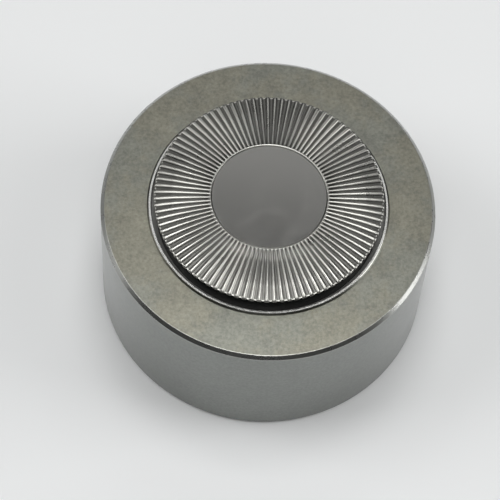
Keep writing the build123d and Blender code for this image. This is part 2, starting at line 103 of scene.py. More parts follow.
class DEMAG_PG_ribs(PropertyGroup):
    """Sizes of the stage's ribs."""
    count: IntProperty(name="Ribs", description="Ribs round the stage", default=95, min=12)
    depth: FloatProperty(name="Depth", description="Height of a rib over the groove",
                         default=0.24 * MM, unit="LENGTH")
    share: FloatProperty(name="Rib share", description="Width of a rib as a share of the pitch",
                         default=0.7, subtype="FACTOR")
    roundness: FloatProperty(name="Roundness", description="2 is a half-ellipse, more is flatter",
                             default=2.0)
    lip: FloatProperty(name="Inner lip", description="Plain band between the ribs and the centre",
                       default=0.2 * MM, unit="LENGTH")
    shoulder: FloatProperty(name="Shoulder", description="Width of the outer band that slopes down",
                            default=2.6 * MM, unit="LENGTH")
    slope: FloatProperty(name="Slope", description="Fall of the shoulder towards the rim",
                         default=radians(4), subtype="ANGLE")
    end_round: FloatProperty(name="End rounding", description="Length over which a rib's outer end falls",
                             default=0.22 * MM, unit="LENGTH")
    end_bulge: FloatProperty(name="End bulge", description="How far a rib's end stands out of the groove",
                             default=0.12 * MM, unit="LENGTH")


class DEMAG_PG_winding(PropertyGroup):
    """Sizes of the coil's visible turns."""
    wire: FloatProperty(name="Wire", description="Diameter of the enamelled wire", default=0.34 * MM,
                        unit="LENGTH")
    gap: FloatProperty(name="Gap", description="Space between two rows of wire", default=0.004 * MM,
                       unit="LENGTH")


class DEMAG_PG_finish(PropertyGroup):
    """Colours and roughness of the finishes."""
    blasted: FloatVectorProperty(name="Blasted steel", description="Colour of the puck", size=3,
                                 subtype="COLOR", default=(0.128, 0.139, 0.124), min=0, max=1)
    tarnish: FloatVectorProperty(name="Tarnish", description="Colour of the puck's handled top", size=3,
                                 subtype="COLOR", default=(0.152, 0.148, 0.113), min=0, max=1)
    blasted_roughness: FloatProperty(name="Blasted roughness", description="Roughness of the puck",
                                     default=0.33, subtype="FACTOR")
    bright: FloatVectorProperty(name="Bright steel", description="Colour of the machined edges", size=3,
                                subtype="COLOR", default=(0.50, 0.50, 0.48), min=0, max=1)
    lip_width: FloatProperty(name="Bright lip", description="Width of the bright ring round the bore",
                             default=0.38 * MM, unit="LENGTH")
    edge_width: FloatProperty(name="Worn edge", description="Width and height of the puck's worn top edge",
                              default=0.5 * MM, unit="LENGTH")
    edge_wear: FloatProperty(name="Edge wear", description="How far the top edge is worn towards bright",
                             default=0.6, subtype="FACTOR")
    nickel: FloatVectorProperty(name="Nickel", description="Colour of the fluted ring", size=3,
                                subtype="COLOR", default=(0.40, 0.397, 0.370), min=0, max=1)
    nickel_roughness: FloatProperty(name="Nickel roughness", description="Roughness of the fluted ring",
                                    default=0.28, subtype="FACTOR")
    # Painted shade in the grooves: a groove floor's colour is dimmed to this share of a rib's colour, and
    # the top share of each rib's depth stays undimmed.
    groove_shade: FloatProperty(name="Groove tone", description="Brightness of a groove against a rib",
                               default=0.26, subtype="FACTOR")
    unshaded: FloatProperty(name="Unshaded depth", description="Share of a rib's depth that is rubbed bright",
                          default=0.4, subtype="FACTOR")
    centre_colour: FloatVectorProperty(name="Centre", description="Colour of the polished centre", size=3,
                                       subtype="COLOR", default=(0.25, 0.248, 0.236), min=0, max=1)
    centre_roughness: FloatProperty(name="Centre roughness", description="Roughness of the polished centre",
                                    default=0.16, subtype="FACTOR")
    black: FloatVectorProperty(name="Black moulding", description="Colour of the carrier", size=3,
                               subtype="COLOR", default=(0.012, 0.013, 0.013), min=0, max=1)


class DEMAG_PG_studio(PropertyGroup):
    """Camera, floor and lights."""
    camera_elevation: FloatProperty(name="Elevation", description="Camera's angle above the horizon",
                                    default=radians(63.45), subtype="ANGLE")
    camera_roll: FloatProperty(name="Roll", description="Camera's turn about its own axis",
                               default=radians(-4.68), subtype="ANGLE")
    camera_distance: FloatProperty(name="Distance", description="Depth of the top face's centre",
                                   default=342.6 * MM, unit="LENGTH")
    aim_right: FloatProperty(name="Aim right", description="Top face's centre, right of the view's middle",
                             default=2.64 * MM, unit="LENGTH")
    aim_up: FloatProperty(name="Aim up", description="Top face's centre, above the view's middle",
                          default=6.36 * MM, unit="LENGTH")
    lens: FloatProperty(name="Lens", description="Focal length on a 36 mm sensor", default=172.5 * MM,
                        unit="CAMERA")
    sky: FloatVectorProperty(name="Sky", description="Colour of the light from all round", size=3,
                             subtype="COLOR", default=(0.97, 0.985, 1.0), min=0, max=1)
    sky_strength: FloatProperty(name="Sky strength", description="Strength of the light from all round",
                                default=0.05)
    light_distance: FloatProperty(name="Light distance", description="From the top face to each light",
                                  default=550 * MM, unit="LENGTH")
    floor: FloatVectorProperty(name="Floor", description="Colour of the floor", size=3, subtype="COLOR",
                               default=(0.915, 0.925, 0.925), min=0, max=1)
    overhead: FloatProperty(name="Overhead", description="Power of the light above, a little behind",
                            default=0.84)
    high_front: FloatProperty(name="High front", description="Power of the light above, a little in front",
                              default=0.5)
    left: FloatProperty(name="Left", description="Power of the light on the left", default=0.67)
    right: FloatProperty(name="Right", description="Power of the light on the right", default=0.28)
    low_left: FloatProperty(name="Low left", description="Power of the low light on the left", default=0.26)
    low_right: FloatProperty(name="Low right", description="Power of the low light on the right",
                             default=0.96)
    back: FloatProperty(name="Back", description="Power of the light behind", default=0.23)
    front: FloatProperty(name="Front", description="Power of the light in front", default=0.14)


# ------------------------------------------------------------------ shader helpers

class Tree:
    """Small writer for a node tree: makes nodes, sets their values and links them."""

    def __init__(self, tree):
        self.tree = tree

    def node(self, kind, **values):
        """New node. Plain values set properties, and the dict in sockets sets unlinked inputs."""
        sockets = values.pop("sockets", {})
        node = self.tree.nodes.new(kind)
        for key, value in values.items():
            setattr(node, key, value)
        for key, value in sockets.items():
            node.inputs[key].default_value = value
        return node

    def link(self, source, target):
        self.tree.links.new(source, target)

    def feed(self, value, socket):
        """Links a socket to an input, or sets the input to a plain value."""
        if hasattr(value, "is_output"):
            self.link(value, socket)
        else:
            socket.default_value = value

    def math(self, operation, first, second=None, clamp=False):
        """Math node on two sockets or numbers, giving its output."""
        node = self.node("ShaderNodeMath", operation=operation, use_clamp=clamp)
        self.feed(first, node.inputs[0])
        if second is not None:
            self.feed(second, node.inputs[1])
        return node.outputs[0]

    def band(self, value, low, high, soft):
        """1 where value lies between low and high, falling to 0 over soft on each side."""
        up = self.ramp(value, low - soft, low)
        down = self.ramp(value, high, high + soft)
        return self.math("SUBTRACT", up, down, clamp=True)

    def ramp(self, value, low, high, to_low=0.0, to_high=1.0):
        """Smooth change from to_low to to_high as value goes from low to high."""
        node = self.node("ShaderNodeMapRange", interpolation_type="SMOOTHSTEP",
                         sockets={"From Min": low, "From Max": high, "To Min": to_low, "To Max": to_high})
        self.link(value, node.inputs["Value"])
        return node.outputs["Result"]

    def noise(self, vector, scale, detail=2.0, roughness=0.5, distortion=0.0):
        """Value noise on a coordinate. The scale is a number or a socket."""
        node = self.node("ShaderNodeTexNoise",
                         sockets={"Detail": detail, "Roughness": roughness, "Distortion": distortion})
        self.link(vector, node.inputs["Vector"])
        self.feed(scale, node.inputs["Scale"])
        return node.outputs["Fac"]

    def place(self):
        """The piece's own coordinates, in metres."""
        return self.node("ShaderNodeTexCoord").outputs["Object"]

    def split(self, vector):
        """X, Y and Z of a vector."""
        node = self.node("ShaderNodeSeparateXYZ")
        self.link(vector, node.inputs[0])
        return node.outputs

    def mix(self, factor, first, second):
        """Colour mix of sockets or colours."""
        node = self.node("ShaderNodeMix", data_type="RGBA")
        for name, value in (("Factor", factor), ("A", first), ("B", second)):
            socket = next(s for s in node.inputs if s.name == name and s.enabled)
            plain_colour = name != "Factor" and not hasattr(value, "is_output")
            self.feed((*value, 1.0) if plain_colour else value, socket)
        return next(s for s in node.outputs if s.enabled)


def new_group(name, inputs, outputs):
    """Shader node group with float inputs, and outputs given as name to socket type."""
    group = bpy.data.node_groups.new(name, "ShaderNodeTree")
    for socket, default in inputs.items():
        made = group.interface.new_socket(socket, in_out="INPUT", socket_type="NodeSocketFloat")
        made.default_value = default
    for socket, kind in outputs.items():
        group.interface.new_socket(socket, in_out="OUTPUT", socket_type=kind)
    tree = Tree(group)
    return tree, tree.node("NodeGroupInput"), tree.node("NodeGroupOutput")


def blasted_grain_group():
    """Fine peened grain with a soft cloudy mottle. Scale is grains per metre."""
    tree, given, made = new_group(
        "blasted_grain",
        {"Scale": 9000.0, "Grain": 0.5, "Mottle Scale": 260.0, "Mottle": 0.5},
        {"Height": "NodeSocketFloat", "Tone": "NodeSocketFloat", "Roughness Shift": "NodeSocketFloat"})
    place = tree.place()
    grain = tree.noise(place, given.outputs["Scale"], roughness=0.65)
    cloud = tree.noise(place, given.outputs["Mottle Scale"], detail=4.0, roughness=0.6)
    centred_cloud = tree.math("SUBTRACT", cloud, 0.5)
    centred_grain = tree.math("SUBTRACT", grain, 0.5)
    tone_cloud = tree.math("MULTIPLY", centred_cloud, given.outputs["Mottle"])
    tone_grain = tree.math("MULTIPLY", centred_grain, given.outputs["Grain"])
    tree.link(grain, made.inputs["Height"])
    tree.link(tree.math("ADD", tree.math("ADD", tone_cloud, tone_grain), 1.0), made.inputs["Tone"])
    tree.link(tree.math("MULTIPLY", tone_cloud, 0.25), made.inputs["Roughness Shift"])
    return tree.tree


def turned_marks_group():
    """Concentric tool marks about the main axis. Pitch is the distance between marks in metres."""
    tree, given, made = new_group(
        "turned_marks",
        {"Pitch": 0.00008, "Waver": 0.3},
        {"Height": "NodeSocketFloat", "Radius": "NodeSocketFloat", "Tone": "NodeSocketFloat"})
    place = tree.place()
    along = tree.split(place)
    square = tree.math("ADD", tree.math("MULTIPLY", along["X"], along["X"]),
                       tree.math("MULTIPLY", along["Y"], along["Y"]))
    radius = tree.math("SQRT", square)
    depth = tree.math("ADD", radius, along["Z"])
    rings = tree.math("DIVIDE", depth, given.outputs["Pitch"])
    line = tree.node("ShaderNodeTexNoise", noise_dimensions="1D",
                     sockets={"Scale": 1.0, "Detail": 2.0, "Roughness": 0.6})
    tree.link(rings, line.inputs["W"])
    cloud = tree.noise(place, 420.0, detail=3.0)
    waver = tree.math("MULTIPLY", tree.math("SUBTRACT", cloud, 0.5), given.outputs["Waver"])
    tree.link(tree.math("ADD", line.outputs["Fac"], waver), made.inputs["Height"])
    tree.link(radius, made.inputs["Radius"])
    tree.link(tree.math("ADD", 0.85, tree.math("MULTIPLY", line.outputs["Fac"], 0.3)), made.inputs["Tone"])
    return tree.tree


def handling_group():
    """Faint smears and hairline scratches from handling, as a mask from 0 to 1."""
    tree, given, made = new_group(
        "handling",
        {"Smear Scale": 130.0, "Scratch Scale": 900.0},
        {"Smear": "NodeSocketFloat", "Scratch": "NodeSocketFloat"})
    place = tree.place()
    smear = tree.noise(place, given.outputs["Smear Scale"], detail=5.0, roughness=0.62, distortion=0.6)
    tree.link(tree.ramp(smear, 0.42, 0.68), made.inputs["Smear"])
    across, squeeze = (0.0, 0.0, 0.7), (1.0, 0.04, 1.0)
    stretched = tree.node("ShaderNodeMapping", sockets={"Rotation": across, "Scale": squeeze})
    tree.link(place, stretched.inputs["Vector"])
    scratch = tree.noise(stretched.outputs["Vector"], given.outputs["Scratch Scale"], detail=1.0,
                         distortion=1.2)
    tree.link(tree.ramp(scratch, 0.70, 0.76), made.inputs["Scratch"])
    return tree.tree


def moulded_grain_group():
    """Fine spark texture of a moulded plastic face."""
    tree, given, made = new_group(
        "moulded_grain", {"Scale": 7000.0},
        {"Height": "NodeSocketFloat", "Tone": "NodeSocketFloat"})
    grain = tree.noise(tree.place(), given.outputs["Scale"])
    tree.link(grain, made.inputs["Height"])
    tree.link(tree.ramp(grain, 0.3, 0.7, 0.9, 1.1), made.inputs["Tone"])
    return tree.tree


GROUP_MAKERS = {"blasted_grain": blasted_grain_group, "turned_marks": turned_marks_group,
                "handling": handling_group, "moulded_grain": moulded_grain_group}
GROUPS = {}


def group_tree(name):
    """Shared effect, built the first time that a material asks for it."""
    if name not in GROUPS:
        GROUPS[name] = GROUP_MAKERS[name]()
    return GROUPS[name]


class Finish(Tree):
    """A material being written: its Principled shader, its bump and its shared groups."""

    def __init__(self, name, metallic=0.0, roughness=0.5, **constants):
        self.material = bpy.data.materials.new(name)
        self.material.use_nodes = True
        super().__init__(self.material.node_tree)
        self.shader = self.tree.nodes["Principled BSDF"]
        self.shader.inputs["Metallic"].default_value = metallic
        self.shader.inputs["Roughness"].default_value = roughness
        for socket, value in constants.items():
            self.shader.inputs[socket.replace("_", " ")].default_value = value

    def group(self, name, **values):
        """Places a shared group with its own values, giving its outputs."""
        node = self.node("ShaderNodeGroup", node_tree=group_tree(name))
        for socket, value in values.items():
            node.inputs[socket.replace("_", " ")].default_value = value
        return node.outputs

    def colour(self, value):
        """Base colour, as a socket or a plain colour."""
        plain = not hasattr(value, "is_output")
        self.feed((*value, 1.0) if plain else value, self.shader.inputs["Base Color"])

    def tint(self, colour, tone):
        """Colour multiplied by a varying tone."""
        scale = self.node("ShaderNodeVectorMath", operation="SCALE")
        scale.inputs[0].default_value = colour
        self.link(tone, scale.inputs["Scale"])
        return scale.outputs["Vector"]

    def roughness(self, mask):
        """Roughness that varies over the surface."""
        self.link(mask, self.shader.inputs["Roughness"])

    def bump(self, height, distance):
        """Bump of a height mask that is distance metres deep."""
        node = self.node("ShaderNodeBump", sockets={"Distance": distance, "Strength": 1.0})
        self.link(height, node.inputs["Height"])
        self.link(node.outputs["Normal"], self.shader.inputs["Normal"])


# ------------------------------------------------------------------ finishes

def finishes():
    """Colours and roughness set in the scene."""
    return bpy.context.scene.demag_finish


def blasted_steel():
    """Puck: peened grey steel, tarnished on its handled top, with edges worn bright."""
    settings = finishes()
    steel = Finish("blasted_steel", metallic=1.0, Coat_Weight=1.0, Coat_Roughness=0.34, Coat_IOR=1.5)
    grain = steel.group("blasted_grain", Scale=2300.0, Grain=1.1, Mottle_Scale=300.0, Mottle=0.7)
    patches = steel.group("blasted_grain", Scale=900.0, Grain=0.6, Mottle_Scale=110.0, Mottle=2.2)
    radius = steel.group("turned_marks")["Radius"]
    height = steel.split(steel.place())["Z"]
    top = steel.ramp(height, TOP_FACE - 0.1 * MM, TOP_FACE - 0.02 * MM)
    bore_edge = steel.band(radius, 0.0, BORE_RADIUS + settings.lip_width, 0.05 * MM)
    edge_start, edge_foot = HOUSING_RADIUS - settings.edge_width, TOP_FACE - settings.edge_width
    edge = steel.math("MULTIPLY", steel.ramp(radius, edge_start - 0.12 * MM, edge_start),
                      steel.ramp(height, edge_foot - 0.15 * MM, edge_foot - 0.05 * MM))
    worn = steel.math("MAXIMUM", steel.math("MULTIPLY", bore_edge, top),
                      steel.math("MULTIPLY", edge, settings.edge_wear))
    tarnish = steel.math("MULTIPLY", steel.ramp(patches["Tone"], 0.75, 1.25, 0.5, 1.0), top)
    blasted = steel.mix(tarnish, steel.tint(settings.blasted, grain["Tone"]),
                        steel.tint(settings.tarnish, grain["Tone"]))
    steel.colour(steel.mix(worn, blasted, settings.bright))
    matt = steel.math("ADD", grain["Roughness Shift"], settings.blasted_roughness)
    steel.roughness(steel.math("SUBTRACT", matt, steel.math("MULTIPLY", worn, 0.08)))
    steel.bump(steel.math("MULTIPLY", grain["Height"], steel.math("SUBTRACT", 1.0, worn)), 0.010 * MM)
    return steel.material


def fluted_nickel():
    """Ribbed ring: satin nickel plate, with painted shade that darkens the grooves against the ribs."""
    settings = finishes()
    ribs = bpy.context.scene.demag_ribs
    nickel = Finish("fluted_nickel", metallic=1.0)
    grain = nickel.group("blasted_grain", Scale=3000.0, Grain=0.2, Mottle_Scale=380.0, Mottle=0.3)
    handling = nickel.group("handling", Smear_Scale=160.0)
    radius = nickel.group("turned_marks")["Radius"]
    # Painted shade: the colour darkens from the crests down to the groove floors, while the rib ends at the
    # rim keep their full colour.
    beyond = nickel.math("MAXIMUM", nickel.math("SUBTRACT", radius, STAGE_RADIUS - ribs.shoulder), 0.0)
    fall = nickel.math("MULTIPLY", beyond, tan(ribs.slope))
    level = nickel.math("ADD", nickel.split(nickel.place())["Z"], fall)
    crest = nickel.ramp(level, STAGE_HIGH.z - ribs.depth, STAGE_HIGH.z - ribs.depth * settings.unshaded,
                        settings.groove_shade, 1.0)
    rim_start = STAGE_RADIUS - ribs.end_bulge - ribs.end_round
    rim = nickel.ramp(radius, rim_start, rim_start + 0.5 * ribs.end_round)
    crest = nickel.math("MAXIMUM", crest, rim)
    nickel.colour(nickel.tint(settings.nickel, nickel.math("MULTIPLY", grain["Tone"], crest)))
    worn = nickel.math("MULTIPLY", handling["Smear"], 0.06)
    nickel.roughness(nickel.math("ADD", nickel.math("ADD", worn, grain["Roughness Shift"]),
                                 settings.nickel_roughness))
    nickel.bump(grain["Height"], 0.0015 * MM)
    return nickel.material


def polished_centre():
    """Centre insert: polished nickel with fine turned rings and hairlines."""
    settings = finishes()
    nickel = Finish("polished_centre", metallic=1.0)
    marks = nickel.group("turned_marks", Pitch=0.06 * MM)
    handling = nickel.group("handling", Smear_Scale=210.0, Scratch_Scale=700.0)
    nickel.colour(nickel.tint(settings.centre_colour, marks["Tone"]))
    worn = nickel.math("ADD", nickel.math("MULTIPLY", handling["Smear"], 0.02),
                       nickel.math("MULTIPLY", handling["Scratch"], 0.03))
    nickel.roughness(nickel.math("ADD", worn, settings.centre_roughness))
    nickel.bump(marks["Height"], 0.0005 * MM)
    return nickel.material


def moulding(name, colour, roughness=0.45, grain_depth=0.006 * MM, scale=7000.0):
    """Moulded plastic with a fine spark grain."""
    plastic = Finish(name)
    grain = plastic.group("moulded_grain", Scale=scale)
    handling = plastic.group("handling", Smear_Scale=170.0)
    plastic.colour(plastic.tint(colour, grain["Tone"]))
    plastic.roughness(plastic.math("ADD", plastic.math("MULTIPLY", handling["Smear"], 0.10), roughness))
    plastic.bump(grain["Height"], grain_depth)
    return plastic.material


def machined(name, colour, roughness=0.3, pitch=0.07 * MM, depth=0.003 * MM):
    """Turned or plated metal with tool marks about the main axis."""
    metal = Finish(name, metallic=1.0)
    marks = metal.group("turned_marks", Pitch=pitch)
    handling = metal.group("handling", Smear_Scale=180.0)
    metal.colour(metal.tint(colour, marks["Tone"]))
    metal.roughness(metal.math("ADD", metal.math("MULTIPLY", handling["Smear"], 0.12), roughness))
    metal.bump(marks["Height"], depth)
    return metal.material


def put_on(material, *nodes):
    """Gives CAD nodes a finish."""
    for node in nodes:
        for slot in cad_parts[node].material_slots:
            slot.material = material


# ------------------------------------------------------------------ geometry helpers

def mesh_from_rows(name, rows):
    """Mesh of quads between rows of points that have one length, the last row joined to the first."""
    mesh = bpy.data.meshes.new(name)
    width = len(rows[0])
    points = [point for row in rows for point in row]
    faces = []
    for row in range(len(rows)):
        below = row * width
        above = (row + 1) % len(rows) * width
        for column in range(width - 1):
            faces.append((below + column, below + column + 1, above + column + 1, above + column))
    mesh.from_pydata(points, [], faces)
    mesh.update()
    return mesh


def closed_shell(mesh):
    """Joins a mesh's doubled points and turns its faces outward."""
    joined = bmesh.new()
    joined.from_mesh(mesh)
    bmesh.ops.remove_doubles(joined, verts=joined.verts, dist=SAME_POINT)
    bmesh.ops.recalc_face_normals(joined, faces=joined.faces)
    joined.to_mesh(mesh)
    joined.free()
    return mesh


def smooth(mesh):
    """Smooth shading that keeps the sharp corners."""
    mesh.shade_smooth()
    mesh.set_sharp_from_angle(angle=SHARP_ANGLE)


def geometry_input(group, name, kind, default=None):
    """Named input of a geometry tree."""
    socket = group.interface.new_socket(name, in_out="INPUT", socket_type=kind)
    if default is not None:
        socket.default_value = default
    return socket.identifier


def made_plain(carrier, name):
    """Evaluates an object's modifiers into a plain mesh object at the origin and drops the carrier."""
    bpy.context.view_layer.update()
    depsgraph = bpy.context.evaluated_depsgraph_get()
    mesh = bpy.data.meshes.new_from_object(carrier.evaluated_get(depsgraph))
    piece = bpy.data.objects.new(name, mesh)
    bpy.context.scene.collection.objects.link(piece)
    bpy.data.objects.remove(carrier)
    mesh.name = name
    return piece


def ring_pattern_tree():
    """Geometry tree: copies of a sector turned about Z, joined into one closed ring."""
    group = bpy.data.node_groups.new("ring_of_sectors", "GeometryNodeTree")
    geometry_input(group, "Sector", "NodeSocketGeometry")
    ids = {"Count": geometry_input(group, "Count", "NodeSocketInt", 12),
           "Join Distance": geometry_input(group, "Join Distance", "NodeSocketFloat", 0.0001),
           "Material": geometry_input(group, "Material", "NodeSocketMaterial")}
    group.interface.new_socket("Ring", in_out="OUTPUT", socket_type="NodeSocketGeometry")
    tree = Tree(group)
    given, made = tree.node("NodeGroupInput"), tree.node("NodeGroupOutput")
    points = tree.node("GeometryNodePoints")
    tree.link(given.outputs["Count"], points.inputs["Count"])
    turn = tree.math("DIVIDE", 2 * pi, given.outputs["Count"])
    angle = tree.math("MULTIPLY", tree.node("GeometryNodeInputIndex").outputs[0], turn)
    rotation = tree.node("ShaderNodeCombineXYZ")
    tree.link(angle, rotation.inputs["Z"])
    place = tree.node("GeometryNodeInstanceOnPoints")
    tree.link(points.outputs[0], place.inputs["Points"])
    tree.link(given.outputs["Sector"], place.inputs["Instance"])
    tree.link(rotation.outputs[0], place.inputs["Rotation"])
    real = tree.node("GeometryNodeRealizeInstances")
    tree.link(place.outputs[0], real.inputs[0])
    joined = tree.node("GeometryNodeMergeByDistance")
    tree.link(real.outputs[0], joined.inputs["Geometry"])
    tree.link(given.outputs["Join Distance"], joined.inputs["Distance"])
    dressed = tree.node("GeometryNodeSetMaterial")
    tree.link(joined.outputs[0], dressed.inputs["Geometry"])
    tree.link(given.outputs["Material"], dressed.inputs["Material"])
    tree.link(dressed.outputs[0], made.inputs[0])
    return group, ids


def stack_pattern_tree():
    """Geometry tree: copies of one turn of wire stacked along Z."""
    group = bpy.data.node_groups.new("stack_of_turns", "GeometryNodeTree")
    geometry_input(group, "Turn", "NodeSocketGeometry")
    ids = {"Count": geometry_input(group, "Count", "NodeSocketInt", 12),
           "Pitch": geometry_input(group, "Pitch", "NodeSocketFloat", 0.0003),
           "Material": geometry_input(group, "Material", "NodeSocketMaterial")}
    group.interface.new_socket("Stack", in_out="OUTPUT", socket_type="NodeSocketGeometry")
    tree = Tree(group)
    given, made = tree.node("NodeGroupInput"), tree.node("NodeGroupOutput")
    points = tree.node("GeometryNodePoints")
    tree.link(given.outputs["Count"], points.inputs["Count"])
    rise = tree.math("MULTIPLY", tree.node("GeometryNodeInputIndex").outputs[0], given.outputs["Pitch"])
    position = tree.node("ShaderNodeCombineXYZ")
    tree.link(rise, position.inputs["Z"])
    tree.link(position.outputs[0], points.inputs["Position"])
    place = tree.node("GeometryNodeInstanceOnPoints")
    tree.link(points.outputs[0], place.inputs["Points"])
    tree.link(given.outputs["Turn"], place.inputs["Instance"])
    real = tree.node("GeometryNodeRealizeInstances")
    tree.link(place.outputs[0], real.inputs[0])
    dressed = tree.node("GeometryNodeSetMaterial")
    tree.link(real.outputs[0], dressed.inputs["Geometry"])
    tree.link(given.outputs["Material"], dressed.inputs["Material"])
    tree.link(dressed.outputs[0], made.inputs[0])
    return group, ids


def repeat(mesh, pattern, name, **values):
    """Runs a pattern tree on a unit mesh and gives the plain result."""
    group, ids = pattern
    carrier = bpy.data.objects.new(name + "_unit", mesh)
    bpy.context.scene.collection.objects.link(carrier)
    modifier = carrier.modifiers.new("Pattern", "NODES")
    modifier.node_group = group
    for key, value in values.items():
        modifier[ids[key.replace("_", " ")]] = value
    return made_plain(carrier, name)


# ------------------------------------------------------------------ fluted ring

def rib_height(across, ribs):
    """Height of a rib at a place across the pitch, from -0.5 to 0.5, as a share of its depth."""
    half = ribs.share / 2
    reach = min(abs(across) / half, 1.0)
    return (1 - reach ** ribs.roundness) ** (1 / ribs.roundness)


def rib_sector(ribs):
    """One pitch of the fluted ring: rib, half a groove on each side, rim, underside and bore."""
    flank_steps, end_steps = 7, 6
    run_in_shares = (0.35, 0.7, 1.0)
    shoulder_shares = (0.06, 0.5, 1.0)
    pitch = 2 * pi / ribs.count
    half = ribs.share / 2
    inside = [half * sin(pi / 2 * step / flank_steps) for step in range(flank_steps + 1)]
    spots = sorted({round(s, 9) for s in [-0.5] + [-s for s in inside] + inside + [0.5]})
    groove_end = STAGE_RADIUS - ribs.end_bulge
    end_start = groove_end - ribs.end_round
    rib_start = CENTRE_RADIUS + ribs.lip
    shoulder_start = STAGE_RADIUS - ribs.shoulder
    run_in = 0.25 * MM
    rim_edge = 0.05 * MM

    def at(radius, across, height):
        angle = across * pitch
        return (radius * cos(angle), radius * sin(angle), height)

    def crest(radius):
        return STAGE_HIGH.z - tan(ribs.slope) * max(radius - shoulder_start, 0.0)

    def stretch(radius, sunk=1.0):
        return [at(radius, s, crest(radius) - ribs.depth * sunk * (1 - rib_height(s, ribs))) for s in spots]

    rows = [[at(CENTRE_RADIUS, s, STAGE_LOW.z) for s in spots],
            [at(CENTRE_RADIUS, s, STAGE_HIGH.z - rim_edge) for s in spots],
            [at(CENTRE_RADIUS + rim_edge, s, STAGE_HIGH.z) for s in spots],
            [at(rib_start, s, STAGE_HIGH.z) for s in spots]]
    rows += [stretch(rib_start + run_in * sunk ** 2, sunk) for sunk in run_in_shares]
    rows += [stretch(rib_start + run_in + (shoulder_start - rib_start - run_in) * step / 3)
             for step in (1, 2, 3)]
    rows += [stretch(shoulder_start + (end_start - shoulder_start) * share) for share in shoulder_shares]
    outline = [groove_end + ribs.end_bulge * rib_height(s, ribs) ** 0.5 for s in spots]
    for step in range(1, end_steps + 1):
        turn = pi / 2 * step / end_steps
        row = []
        for spot, end in zip(spots, outline):
            radius = end_start + (end - end_start) * sin(turn)
            stand = ribs.depth * rib_height(spot, ribs) * cos(turn)
            row.append(at(radius, spot, crest(radius) - ribs.depth + stand))
        rows.append(row)
    rows.append([at(r, s, STAGE_RIM_LOW + rim_edge) for r, s in zip(outline, spots)])
    rows.append([at(r - rim_edge, s, STAGE_RIM_LOW) for r, s in zip(outline, spots)])
    rows.append([at(STAGE_BODY_RADIUS, s, STAGE_RIM_LOW) for s in spots])
    rows.append([at(STAGE_BODY_RADIUS, s, STAGE_LOW.z) for s in spots])
    return mesh_from_rows("rib_sector", rows)


class DEMAG_OT_fluted_ring(Operator):
    """Ribbed nickel ring of the stage, made from one rib sector"""
    bl_idname = "demag.fluted_ring"
    bl_label = "Fluted ring"

    def execute(self, context):
        ribs = context.scene.demag_ribs
        ring = repeat(rib_sector(ribs), ring_pattern_tree(), "fluted_ring", Count=ribs.count,
                      Join_Distance=0.004 * MM, Material=fluted_nickel())
        closed_shell(ring.data)
        smooth(ring.data)
        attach(ring, "stage")
        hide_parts("fluted_stage")
        return {"FINISHED"}


# ------------------------------------------------------------------ coil

def wire_row(inner, outer, thickness):
    """One row of the winding: wires side by side from the bobbin out, the last one showing round."""
    steps_around, steps_over_wire = 96, 6
    reach = outer - thickness / 2
    profile = [(inner, 0.0), (reach, 0.0)]
    for step in range(1, steps_over_wire):
        turn = pi * step / steps_over_wire
        profile.append((reach + thickness / 2 * sin(turn), thickness / 2 * (1 - cos(turn))))
    profile += [(reach, thickness), (inner, thickness), (inner, 0.0)]
    rows = []
    for step in range(steps_around):
        angle = 2 * pi * step / steps_around
        rows.append([(radius * cos(angle), radius * sin(angle), height) for radius, height in profile])
    return closed_shell(mesh_from_rows("wire_row", rows))


class DEMAG_OT_coil(Operator):
    """Coil, its bobbin and core"""
    bl_idname = "demag.coil"
    bl_label = "Coil"

    def execute(self, context):
        copper = machined("copper_wire", (0.75, 0.30, 0.14), roughness=0.25)
        put_on(copper, "coil_leads")
        sizes = context.scene.demag_winding
        height = WINDING_HIGH.z - WINDING_LOW.z
        rows = round(height / sizes.wire)
        pitch = height / rows
        row = wire_row(WINDING_INNER, WINDING_HIGH.x, pitch - sizes.gap)
        row.transform(Matrix.Translation((0.0, 0.0, WINDING_LOW.z)))
        winding = repeat(row, stack_pattern_tree(), "winding_rows", Count=rows, Pitch=pitch,
                         Material=copper)
        smooth(winding.data)
        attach(winding, "puck")
        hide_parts("coil_winding")
        put_on(moulding("coil_tape_film", (0.75, 0.52, 0.06), roughness=0.2), "coil_tape")
        put_on(moulding("bobbin_moulding", (0.72, 0.70, 0.62), roughness=0.4), "coil_bobbin",
               "board_spacers")
        put_on(machined("soft_iron", (0.25, 0.25, 0.26), roughness=0.5, pitch=0.12 * MM, depth=0.01 * MM),
               "core_cup", "core_pole")
        return {"FINISHED"}


# ------------------------------------------------------------------ operators for the CAD nodes

class DEMAG_OT_puck(Operator):
    """Blasted steel housing and the parts that close it"""
    bl_idname = "demag.puck"
    bl_label = "Puck"

    def execute(self, context):
        put_on(blasted_steel(), "housing")
        put_on(machined("plate_steel", (0.5, 0.5, 0.49), roughness=0.34, pitch=0.22 * MM,
                        depth=0.008 * MM), "base_plate")
        put_on(machined("screw_steel", (0.55, 0.55, 0.56)), "base_plate_screws", "core_screw",
               "stage_screws")
        put_on(moulding("foot_rubber", (0.02, 0.02, 0.021), roughness=0.75, grain_depth=0.02 * MM,
                        scale=2600.0), "foot_ring")
        return {"FINISHED"}


class DEMAG_OT_stage_parts(Operator):
    """Polished centre, black carrier, slide bush and the parts that guide the stage"""
    bl_idname = "demag.stage_parts"
    bl_label = "Stage parts"

    def execute(self, context):
        put_on(polished_centre(), "stage_centre")
        put_on(moulding("black_moulding", finishes().black, roughness=0.12), "stage_carrier")
        put_on(moulding("bush_acetal", (0.30, 0.30, 0.285), roughness=0.3), "guide_bush")
        put_on(machined("pin_steel", (0.7, 0.7, 0.7), roughness=0.18), "guide_pins")
        put_on(machined("spring_steel", (0.5, 0.5, 0.52), roughness=0.28), "return_springs",
               "switch_spring")
        return {"FINISHED"}


